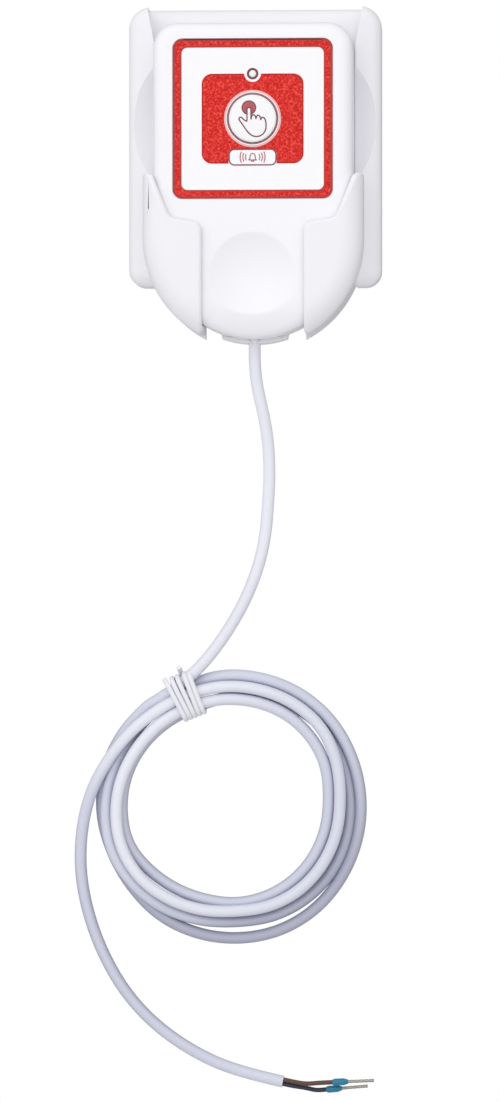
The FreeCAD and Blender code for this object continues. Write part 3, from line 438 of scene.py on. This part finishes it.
film = Finish("label_film")
film_cloud = film.noise(300.0, 3.0)
film.set(Base_Color=film.mix(film_cloud, (0.925, 0.925, 0.955), (0.95, 0.95, 0.97)),
         Roughness=film_cloud * 0.1 + 0.32)
film_skin = film.material

ink = Finish("red_ink")
speck = ink.noise(1500.0, 3.0, 0.6)
patch = ink.noise(600.0, 2.0)
red_stops = [(0.38, (0.47, 0.001, 0.001)), (0.50, (0.69, 0.012, 0.008)), (0.62, (0.90, 0.085, 0.060))]
ink.set(Base_Color=ink.ramp(speck * 0.75 + patch * 0.25, red_stops), Specular_IOR_Level=INK_SPECULAR,
        Roughness=speck * 0.2 + 0.42, Normal=ink.bump(speck, 0.2, 0.00002))
ink_skin = ink.material


# The same flat colour also paints shade: in the indicator's well, in the groove round the button and along the
# frame's top.
def flat_ink_or_shade(name, colour, shade):
    """Flat colour with a faint cloud: ink of one colour, or painted shade."""
    finish = Finish(name)
    cloud = finish.noise(1500.0, 2.0)
    finish.set(Base_Color=finish.mix(cloud, shade, colour), Specular_IOR_Level=INK_SPECULAR,
               Roughness=cloud * 0.2 + 0.42)
    return finish.material


line_and_well_shade = flat_ink_or_shade("mauve_ink_and_shade", (0.24, 0.07, 0.088), (0.17, 0.045, 0.058))
edge_skin = flat_ink_or_shade("ink_dark_red", (0.42, 0.012, 0.012), (0.30, 0.006, 0.008))
band_skin = flat_ink_or_shade("ink_soft_red", (0.50, 0.055, 0.048), (0.41, 0.038, 0.033))
top_shadow_paint = flat_ink_or_shade("painted_top_shadow", (0.10, 0.012, 0.014), (0.07, 0.008, 0.010))
spot_skin = flat_ink_or_shade("ink_rose", (0.50, 0.13, 0.145), (0.40, 0.085, 0.10))
lilac_groove_shade = flat_ink_or_shade("painted_groove_shade", (0.46, 0.21, 0.24), (0.38, 0.16, 0.19))
blush_skin = flat_ink_or_shade("ink_blush", (0.93, 0.50, 0.47), (0.88, 0.40, 0.38))
print("film and inks made")

# %% [markdown]
# ## Soft plastics and rubber
# The bush is rubber, the cores are glossy PVC, and the tie and the ferrules' collars are soft plastic. They all
# have a skin without mould grain: a faint cloud in the colour, and a fine noise that breaks the gloss.

# %% Soft skins
CLOUD_SCALE = 60.0
FINE_SCALE, FINE_HEIGHT, FINE_GLOSS = 900.0, 0.000015, 0.12


def soft_skin(name, colour, shade, roughness):
    """PVC or rubber with a faint cloud of shade."""
    finish = Finish(name)
    cloud = finish.noise(CLOUD_SCALE, 2.0)
    fine = finish.noise(FINE_SCALE, 2.0)
    finish.set(Base_Color=finish.mix(cloud, shade, colour), Roughness=fine * FINE_GLOSS + roughness,
               Normal=finish.bump(fine, 0.1, FINE_HEIGHT))
    return finish.material


bush_skin = soft_skin("bush_rubber", (0.72, 0.72, 0.78), (0.68, 0.68, 0.74), 0.55)
brown_skin = soft_skin("core_brown", (0.135, 0.055, 0.035), (0.075, 0.026, 0.018), 0.3)
dark_skin = soft_skin("core_dark", (0.020, 0.027, 0.065), (0.010, 0.013, 0.032), 0.3)
tie_skin = soft_skin("tie_white", (0.86, 0.86, 0.91), (0.82, 0.82, 0.87), 0.38)
collar_skin = soft_skin("collar_teal", (0.008, 0.22, 0.37), (0.006, 0.18, 0.31), 0.34)
print("soft skins made")

# %% [markdown]
# ## The cable's jacket
# The jacket is smooth pale PVC with a cool, slightly grey cast, softer in gloss than the plastic. Little light
# reaches the turns at the back of the coil, and with a soft light all round the turns would run together. So the
# colour carries painted shade that changes with the distance from the wall: pale at the wall, where only the back
# is seen, greyest between the turns, and palest on the front turns.

# %% Jacket
CM_PER_METRE = 100
jacket = Finish("jacket_grey")
from_wall = (0 - jacket.along("Y")) * CM_PER_METRE
# Painted shade: the colour darkens between the turns and at the back of the coil, set by the distance from the
# wall.
jacket_painted_shade = jacket.ramp(from_wall, [
    (0.06, (0.64, 0.65, 0.74)), (0.17, (0.57, 0.58, 0.68)), (0.27, (0.34, 0.36, 0.46)), (0.38, (0.47, 0.48, 0.59)),
    (0.47, (0.62, 0.64, 0.75)), (0.68, (0.70, 0.715, 0.82)), (0.86, (0.845, 0.855, 0.925))])
jacket_shade = jacket.mix(jacket.noise(CLOUD_SCALE, 2.0), (0.94, 0.94, 0.96), (1.0, 1.0, 1.0))
jacket_fine = jacket.noise(FINE_SCALE, 2.0)
jacket.set(Base_Color=jacket.mix(1.0, jacket_painted_shade, jacket_shade, "MULTIPLY"),
           Roughness=jacket_fine * FINE_GLOSS + 0.42, Normal=jacket.bump(jacket_fine, 0.1, FINE_HEIGHT))
jacket_skin = jacket.material
print("jacket made")

# %% [markdown]
# ## Metals
# The ferrules' pins are tin-plated copper and the screws zinc-plated steel. Both are bright, but neither is a
# mirror: the plating runs in fine streaks that change the colour and the gloss. A noise that is stretched along
# the piece gives the streaks.

# %% Plated metals
STREAK_SCALE, STREAK_SHADE = 1500.0, 0.55


def plated(name, colour, roughness, stretch):
    """Bright plating with fine streaks."""
    finish = Finish(name)
    streak = finish.noise(STREAK_SCALE, 3.0, 0.5, stretch)
    darker = tuple(part * STREAK_SHADE for part in colour)
    finish.set(Base_Color=finish.mix(streak, darker, colour), Metallic=1.0, Roughness=streak * 0.25 + roughness,
               Normal=finish.bump(streak, 0.2, 0.00001))
    return finish.material


tin_skin = plated("tinned_copper", (0.50, 0.48, 0.42), 0.24, (1.0, 0.3, 0.3))
steel_skin = plated("zinc_steel", (0.60, 0.60, 0.62), 0.3, (3.0, 3.0, 1.0))
print("metals made")

# %% [markdown]
# ## Board, chips and lens
# Inside the handset lie a green circuit board, three small black chips and a clear light pipe whose front end
# shows in the label. One noise each is enough, since hardly any of them is seen.

# %% Board, chips and lens
board = Finish("board_green")
weave = board.noise(700.0, 2.0)
board.set(Base_Color=board.mix(weave, (0.01, 0.10, 0.04), (0.02, 0.15, 0.06)), Roughness=weave * 0.15 + 0.35)
board_skin = board.material

chip = Finish("chip_glaze")
chip_cloud = chip.noise(2500.0, 2.0)
chip.set(Base_Color=chip.mix(chip_cloud, (0.02, 0.02, 0.024), (0.05, 0.05, 0.055)),
         Roughness=chip_cloud * 0.2 + 0.3)
chip_skin = chip.material

lens = Finish("lens_clear")
lens_cloud = lens.noise(1800.0, 2.0)
lens.set(Base_Color=lens.mix(lens_cloud, (0.82, 0.86, 0.86), (0.92, 0.94, 0.94)),
         Roughness=lens_cloud * 0.06 + 0.12)
lens_skin = lens.material
print("board, chips and lens made")

# %% [markdown]
# ## Dressing the pieces
# Each CAD piece keeps its shape and gets its finish through its material slot. A table from piece to finish shows
# at a glance what is made of what.

# %% Dress the CAD pieces
finishes = {
    "holder": holder_skin,
    "front_shell": shell_skin,
    "rear_shell": shell_skin,
    "front_label": film_skin,
    "label_print": ink_skin,
    "call_button": button_skin,
    "switch_plunger": switch_skin,
    "switch_body": switch_skin,
    "light_pipe": lens_skin,
    "indicator_led": lens_skin,
    "circuit_board": board_skin,
    "resistors": chip_skin,
    "terminal_block": terminal_skin,
    "terminal_screws": steel_skin,
    "board_screws": steel_skin,
    "shell_screws": steel_skin,
    "cable_bush": bush_skin,
    "cable_clamp": clamp_skin,
    "clamp_screws": steel_skin,
    "cable_inner_end": jacket_skin,
    "inner_core_brown": brown_skin,
    "inner_core_dark": dark_skin,
    "cord_lead": jacket_skin,
    "cord_coil": jacket_skin,
    "cord_tail": jacket_skin,
    "cord_tie": tie_skin,
    "core_brown": brown_skin,
    "core_dark": dark_skin,
    "ferrule_collar_upper": collar_skin,
    "ferrule_collar_lower": collar_skin,
    "ferrule_pin_upper": tin_skin,
    "ferrule_pin_lower": tin_skin,
}
for name, skin in finishes.items():
    data = nodes[name].data
    data.materials.clear()
    data.materials.append(skin)
cable.data.materials.append(jacket_skin)
tie.data.materials.append(tie_skin)
print("dressed", len(finishes), "nodes")

# %% [markdown]
# ## Lines to draw with
# The print is made of four kinds of line: rings, arcs, boxes with rounded corners, and lines drawn through a few
# listed points. Cutting the corners of such a line again and again makes it run smoothly, and needs no curve
# object.


# %% Tools for lines
def smooth_line(points, closed, rounds):
    """Cut the corners of a line again and again until it runs smoothly."""
    for _ in range(rounds):
        cut = [] if closed else [points[0]]
        following = points[1:] + points[:1] if closed else points[1:]
        for (ax, az), (bx, bz) in zip(points, following):
            cut.append((ax * 0.75 + bx * 0.25, az * 0.75 + bz * 0.25))
            cut.append((ax * 0.25 + bx * 0.75, az * 0.25 + bz * 0.75))
        if not closed:
            cut.append(points[-1])
        points = cut
    return points


def ring_line(x, z, radius, count=96):
    """Closed round line."""
    turns = [2 * math.pi * index / count for index in range(count)]
    return [(x + radius * math.cos(turn), z + radius * math.sin(turn)) for turn in turns]


def arc_line(x, z, radius, middle, spread, count=12):
    """Open round line. Its middle and half spread are in degrees."""
    turns = [math.radians(middle - spread + 2 * spread * index / count) for index in range(count + 1)]
    return [(x + radius * math.cos(turn), z + radius * math.sin(turn)) for turn in turns]


def box_line(x, z, width, height, radius, count=10):
    """Closed line of a rectangle with rounded corners."""
    line = []
    corners = ((1, 1, 0), (-1, 1, 90), (-1, -1, 180), (1, -1, 270))
    for side, end, first in corners:
        for index in range(count + 1):
            turn = math.radians(first + 90 * index / count)
            line.append((x + side * (width / 2 - radius) + radius * math.cos(turn),
                         z + end * (height / 2 - radius) + radius * math.sin(turn)))
    return line


print("lines ready")

# %% [markdown]
# ## Drawing in ink
# Everything drawn on the label and the button is a thin ribbon of ink. A ribbon follows a line on the front,
# given as x and z in millimetres, and its depth comes from a function, so that it also lies on the crowned
# button. Each ribbon stands one to five hundredths of a millimetre above what it's printed on. A picture on the
# surface would blur up close, and a ribbon stays sharp.


# %% Tools for ribbons
def ribbon_part(shape, line, closed, width, depth, lift):
    """Add one ribbon of ink to a mesh under construction."""
    count = len(line)
    rows = []
    for index, (x, z) in enumerate(line):
        before = line[index - 1] if closed or index else line[index]
        after = line[(index + 1) % count] if closed or index < count - 1 else line[index]
        along = Vector((after[0] - before[0], after[1] - before[1])).normalized()
        row = []
        for side in (-1, 1):
            px = x - side * along.y * width / 2
            pz = z + side * along.x * width / 2
            row.append(shape.verts.new(Vector((px, depth(px, pz) - lift, pz)) * MM))
        rows.append(row)
    for index in range(count if closed else count - 1):
        a = rows[index]
        b = rows[(index + 1) % count]
        shape.faces.new((a[0], a[1], b[1], b[0]))


def ink_piece(name, lines, width, depth, lift, skin, body):
    """Make one piece of ribbons that face the front. Each line is its points and whether it's closed."""
    mesh = bpy.data.meshes.new(name)
    shape = bmesh.new()
    for line, closed in lines:
        ribbon_part(shape, line, closed, width, depth, lift)
    shape.normal_update()
    bmesh.ops.reverse_faces(shape, faces=[face for face in shape.faces if face.normal.y > 0])
    shape.to_mesh(mesh)
    shape.free()
    mesh.materials.append(skin)
    piece = add_object(name, mesh)
    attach(piece, body)
    return piece


def flat(level):
    """Depth of a flat face."""
    return lambda x, z: level


print("ribbons ready")

# %% [markdown]
# ## The frame and the panel
# Ink dries darker along its edge. A soft dark edge runs along both sides of the red frame, and a finer one round
# the panel, which stops at the indicator's bay and at the sign field. A thin dark line along the frame's top is
# painted shadow: it stands for the shade the recess throws there.

# %% Draw the frame and the panel
LABEL_Z = 6.2
print_depth = flat(-26.63)
EDGE_LIFT, LINE_LIFT = 0.01, 0.02
FRAME_BOXES = ((44.2, 2.35), (40.62, 1.98))
PANEL_WIDTH, PANEL_HEIGHT, PANEL_CORNER = 28.25, 24.85, 2.7
BAY_HALF, FIELD_HALF = 2.5, 7.0
SHADE_HALF, SHADE_Z = 19.6, LABEL_Z + 22.3


def panel_edge(side):
    """The panel's edge on the left, -1, or the right, 1, from the indicator's bay down to the sign field."""
    outline = box_line(0.0, LABEL_Z, PANEL_WIDTH, PANEL_HEIGHT, PANEL_CORNER)
    kept = [(x, z) for x, z in outline if -x > (BAY_HALF if z > LABEL_Z else FIELD_HALF)]
    top, foot = LABEL_Z + PANEL_HEIGHT / 2, LABEL_Z - PANEL_HEIGHT / 2
    return [(-side * x, z) for x, z in [(-BAY_HALF, top)] + kept + [(-FIELD_HALF, foot)]]


frame_lines = [(box_line(0.0, LABEL_Z, size, size, corner), True) for size, corner in FRAME_BOXES]
ink_piece("frame_edges", frame_lines, 0.5, print_depth, EDGE_LIFT, band_skin, "body")
panel_lines = [(panel_edge(side), False) for side in (-1, 1)]
ink_piece("print_edges", panel_lines, 0.2, print_depth, EDGE_LIFT, edge_skin, "body")
# Painted shadow: a dark line for the shade the recess throws on the frame's top.
shade_line = [(-SHADE_HALF, SHADE_Z), (SHADE_HALF, SHADE_Z)]
ink_piece("painted_shadow_top", [(shade_line, False)], 0.3, print_depth, LINE_LIFT, top_shadow_paint, "body")
print("frame and panel drawn")

# %% [markdown]
# ## Rings round the indicator and the button
# The indicator has a mauve ring in its well: painted shade that stands for the shade in the gap round the light
# pipe. A lilac ring in the groove round the button is painted shade too, laid over the groove's red print. Round
# the button runs a raised rim with a rounded top, and the red of the panel tints it. Five narrow ribbons side by
# side follow the rim's rounding, where one wide ribbon would cut through it.

# %% Draw the rings
INDICATOR_Z = LABEL_Z + 12.65
INDICATOR_RADIUS = 1.35
GROOVE_RADIUS = 7.09
RIM_TOP_Y = -26.95
RIM_ROUNDING = 0.32
RIM_LINES = (7.62, 7.73)
BLUSH_EDGES = (7.36, 7.46, 7.62, 7.73, 7.89, 7.99)
well_depth = flat(-26.5)


def rim_depth(x, z):
    """Depth of the rim round the button: flat between two lines, rounded beside them."""
    radius = math.hypot(x, z - LABEL_Z)
    beside = max(RIM_LINES[0] - radius, radius - RIM_LINES[1], 0.0)
    return RIM_TOP_Y + RIM_ROUNDING - math.sqrt(max(RIM_ROUNDING ** 2 - beside ** 2, 0.0))


# Painted shade: a mauve ring in the indicator's well for the shade in the gap round the light pipe.
indicator_line = ring_line(0.0, INDICATOR_Z, INDICATOR_RADIUS)
ink_piece("indicator_well_shade", [(indicator_line, True)], 0.54, well_depth, 0.0, line_and_well_shade, "body")
# Painted shade: a lilac ring in the groove round the button, over its red print.
groove_line = ring_line(0.0, LABEL_Z, GROOVE_RADIUS)
ink_piece("groove_shade_ring", [(groove_line, True)], 0.36, print_depth, EDGE_LIFT, lilac_groove_shade, "body")
blush_lines = [(ring_line(0.0, LABEL_Z, (low + high) / 2), True) for low, high in zip(BLUSH_EDGES, BLUSH_EDGES[1:])]
ink_piece("rim_blush", blush_lines, 0.165, rim_depth, LINE_LIFT, blush_skin, "body")
print("rings drawn")

# %% [markdown]
# ## The sign field
# The white field under the button has a mauve outline and no word. A small bell between curved bars stands in it,
# a sign for calling that belongs to nobody.

# %% Draw the sign field
FIELD_Z = LABEL_Z - 10.85
FIELD_WIDTH, FIELD_HEIGHT, FIELD_CORNER = 13.2, 4.4, 1.5
BELL_FOOT_HALF, BELL_FOOT_Z = 1.2, FIELD_Z - 0.8
CLAPPER_Z, CLAPPER_RADIUS = FIELD_Z - 0.85, 0.36
BAR_RADII = (2.0, 2.75, 3.5)
bell = [(-1.05, -0.75), (-0.78, -0.5), (-0.72, 0.35), (-0.55, 0.85), (0.0, 1.1), (0.55, 0.85), (0.72, 0.35),
        (0.78, -0.5), (1.05, -0.75)]

field_line = box_line(0.0, FIELD_Z, FIELD_WIDTH, FIELD_HEIGHT, FIELD_CORNER)
ink_piece("field_line", [(field_line, True)], 0.34, print_depth, LINE_LIFT, line_and_well_shade, "body")
bell_lines = [([(x, z + FIELD_Z) for x, z in smooth_line(bell, False, 2)], False),
              ([(-BELL_FOOT_HALF, BELL_FOOT_Z), (BELL_FOOT_HALF, BELL_FOOT_Z)], False),
              (arc_line(0.0, CLAPPER_Z, CLAPPER_RADIUS, 270, 80), False)]
bell_lines += [(arc_line(0.0, FIELD_Z, radius, middle, 26), False) for radius in BAR_RADII for middle in (0, 180)]
ink_piece("bell_sign", bell_lines, 0.26, print_depth, LINE_LIFT, spot_skin, "body")
print("sign field drawn with", len(bell_lines), "lines")

# %% [markdown]
# ## The sign on the button
# A hand presses a round spot: the common sign for a push button. The spot is a flat disc made of rings, so that
# it follows the crown. A white finger lies over it, and the outline of the hand over both. They ride the
# button, so they move with it when it's pressed.

# %% Draw on the button
BUTTON_APEX_Y = -27.85
CROWN_RADIUS = 74.97
BUTTON_FLAT = 6.2
BUTTON_ROUNDING = 0.5
BUTTON_EDGE = 6.47
SPOT = (-1.0, LABEL_Z + 2.95)
SPOT_EDGE = 1.93
SPOT_STEPS, SPOT_WIDTH = 8, 0.25
SPOT_POINTS = 72


def button_depth(x, z):
    """Depth of the button's crown and its rounded rim."""
    radius = math.hypot(x, z - LABEL_Z)
    fall = min(max(radius - BUTTON_FLAT, 0.0), BUTTON_ROUNDING)
    edge = BUTTON_ROUNDING - math.sqrt(BUTTON_ROUNDING ** 2 - fall ** 2)
    return BUTTON_APEX_Y + radius ** 2 / (2 * CROWN_RADIUS) + edge


spot_lines = [(ring_line(*SPOT, SPOT_WIDTH * (index + 0.5), SPOT_POINTS), True) for index in range(SPOT_STEPS)]
ink_piece("sign_spot", spot_lines, SPOT_WIDTH, button_depth, 0.02, spot_skin, "button")
finger = [(-0.98, -1.0), (-0.98, 0.6), (-0.98, 2.2), (-0.98, 2.75)]
finger_line = [(x, z + LABEL_Z) for x, z in finger]
ink_piece("sign_finger", [(finger_line, False)], 0.95, button_depth, 0.03, button_skin, "button")
hand = [(-3.6, 0.25), (-3.15, 0.3), (-2.4, -0.45), (-1.62, -0.95), (-1.5, -0.6), (-1.52, 0.8), (-1.52, 2.5),
        (-1.4, 3.05), (-0.56, 3.05), (-0.42, 2.5), (-0.42, 0.8), (-0.4, -0.6), (-0.34, 0.5), (0.3, 1.05),
        (0.85, 0.65), (1.0, -0.35), (1.08, 0.45), (1.65, 0.95), (2.2, 0.35), (2.4, -0.65), (2.45, 0.1), (3.1, 0.3),
        (3.7, -0.5), (3.85, -1.8), (3.8, -3.2), (3.1, -4.4), (2.0, -5.1), (0.5, -5.2), (-0.9, -4.4), (-1.9, -3.1),
        (-2.9, -1.6), (-3.9, -0.3)]
hand_line = [(x, z + LABEL_Z) for x, z in smooth_line(hand, True, 3)]
ink_piece("sign_hand", [(hand_line, True)], 0.36, button_depth, 0.045, line_and_well_shade, "button")
round_line = ring_line(*SPOT, SPOT_EDGE, SPOT_POINTS)
ink_piece("sign_round", [(round_line, True)], 0.3, button_depth, 0.025, line_and_well_shade, "button")
edge_line = ring_line(0.0, LABEL_Z, BUTTON_EDGE)
ink_piece("button_edge", [(edge_line, True)], 0.34, button_depth, 0.012, spot_skin, "button")
print("button drawn")

# %% [markdown]
# ## Light
# The photograph was taken in a bright white room with its light round the camera. Every surface that faces the
# camera is nearly white, and edges that turn away go grey: most on the right and underneath, least at the top.
# A world whose strength changes evenly with the direction gives just that. On a matt surface two thirds of the
# slope arrive, so a front, an edge or an underside gets `level + slope * 2 / 3`. The camera itself sees plain
# white behind the object.

# %% World
WORLD_LEVEL = 0.625
WORLD_SLOPE = (-0.14, -0.56, 0.20)
world = bpy.data.worlds.new("studio")
bpy.context.scene.world = world
world.use_nodes = True
sky = world.node_tree
for node in list(sky.nodes):
    sky.nodes.remove(node)


def sky_node(kind, inputs, operation=None):
    """Add a node to the world with values or links in its sockets."""
    node = sky.nodes.new(kind)
    if operation:
        node.operation = operation
    for key, value in inputs.items():
        if isinstance(value, bpy.types.NodeSocket):
            sky.links.new(value, node.inputs[key])
        else:
            node.inputs[key].default_value = value
    return node


direction = sky_node("ShaderNodeTexCoord", {}).outputs["Generated"]
lean = sky_node("ShaderNodeVectorMath", {0: direction, 1: WORLD_SLOPE}, "DOT_PRODUCT").outputs["Value"]
strength = sky_node("ShaderNodeMath", {0: lean, 1: WORLD_LEVEL}, "ADD").outputs[0]
soft_light = sky_node("ShaderNodeBackground", {"Strength": strength})
white = sky_node("ShaderNodeBackground", {"Strength": 1.0})
for background in (soft_light, white):
    background.inputs["Color"].default_value = (1.0, 1.0, 1.0, 1.0)
ray = sky_node("ShaderNodeLightPath", {}).outputs
seen = sky_node("ShaderNodeMath", {0: ray["Is Camera Ray"], 1: ray["Is Transmission Ray"]}, "MAXIMUM")
pick = sky_node("ShaderNodeMixShader", {0: seen.outputs[0], 1: soft_light.outputs[0], 2: white.outputs[0]})
sky_node("ShaderNodeOutputWorld", {"Surface": pick.outputs[0]})
print("world light", WORLD_LEVEL, "with slope", WORLD_SLOPE)

# %% [markdown]
# ## Lamps
# A soft world alone leaves satin plastic dull. Two small square lamps above the camera add the glints that show
# where an edge is rounded, and are too weak to throw a hard shadow.

# %% Add the lamps
LAMP_WIDTH = 0.22
LAMP_AIM = Vector((0.0, 0.0, -0.05))
lamps = {"key": ((-0.45, -1.5, 0.55), 0.9), "fill": ((0.35, -1.6, 0.35), 0.5)}
for name, (place, watts) in lamps.items():
    data = bpy.data.lights.new(name, "AREA")
    data.shape = "SQUARE"
    data.size = LAMP_WIDTH
    data.energy = watts
    lamp = add_object(name, data)
    lamp.location = place
    aim(lamp, LAMP_AIM - Vector(place))
print("lamps:", sorted(lamps))

# %% [markdown]
# ## Floor
# The holder hangs on a wall, and the photograph shows only white round it. A plain pale floor lies well below
# the picture's lower edge, for views from other sides.

# %% Lay the floor
FLOOR_HALF = 1.6
FLOOR_Z = -0.62
floor_mesh = bpy.data.meshes.new("floor")
floor_shape = bmesh.new()
bmesh.ops.create_grid(floor_shape, x_segments=8, y_segments=8, size=FLOOR_HALF)
floor_shape.to_mesh(floor_mesh)
floor_shape.free()
floor = add_object("floor", floor_mesh)
floor.location = (0.0, 0.0, FLOOR_Z)
pale = Finish("floor_pale")
pale.set(Base_Color=pale.mix(pale.noise(3.0, 2.0), (0.88, 0.88, 0.89), (0.92, 0.92, 0.925)), Roughness=0.8)
floor_mesh.materials.append(pale.material)
print("floor at", FLOOR_Z, "m")

# %% [markdown]
# ## View
# Standard view settings show a colour about as it is written.

# %% Set the view
bpy.context.scene.view_settings.view_transform = "Standard"
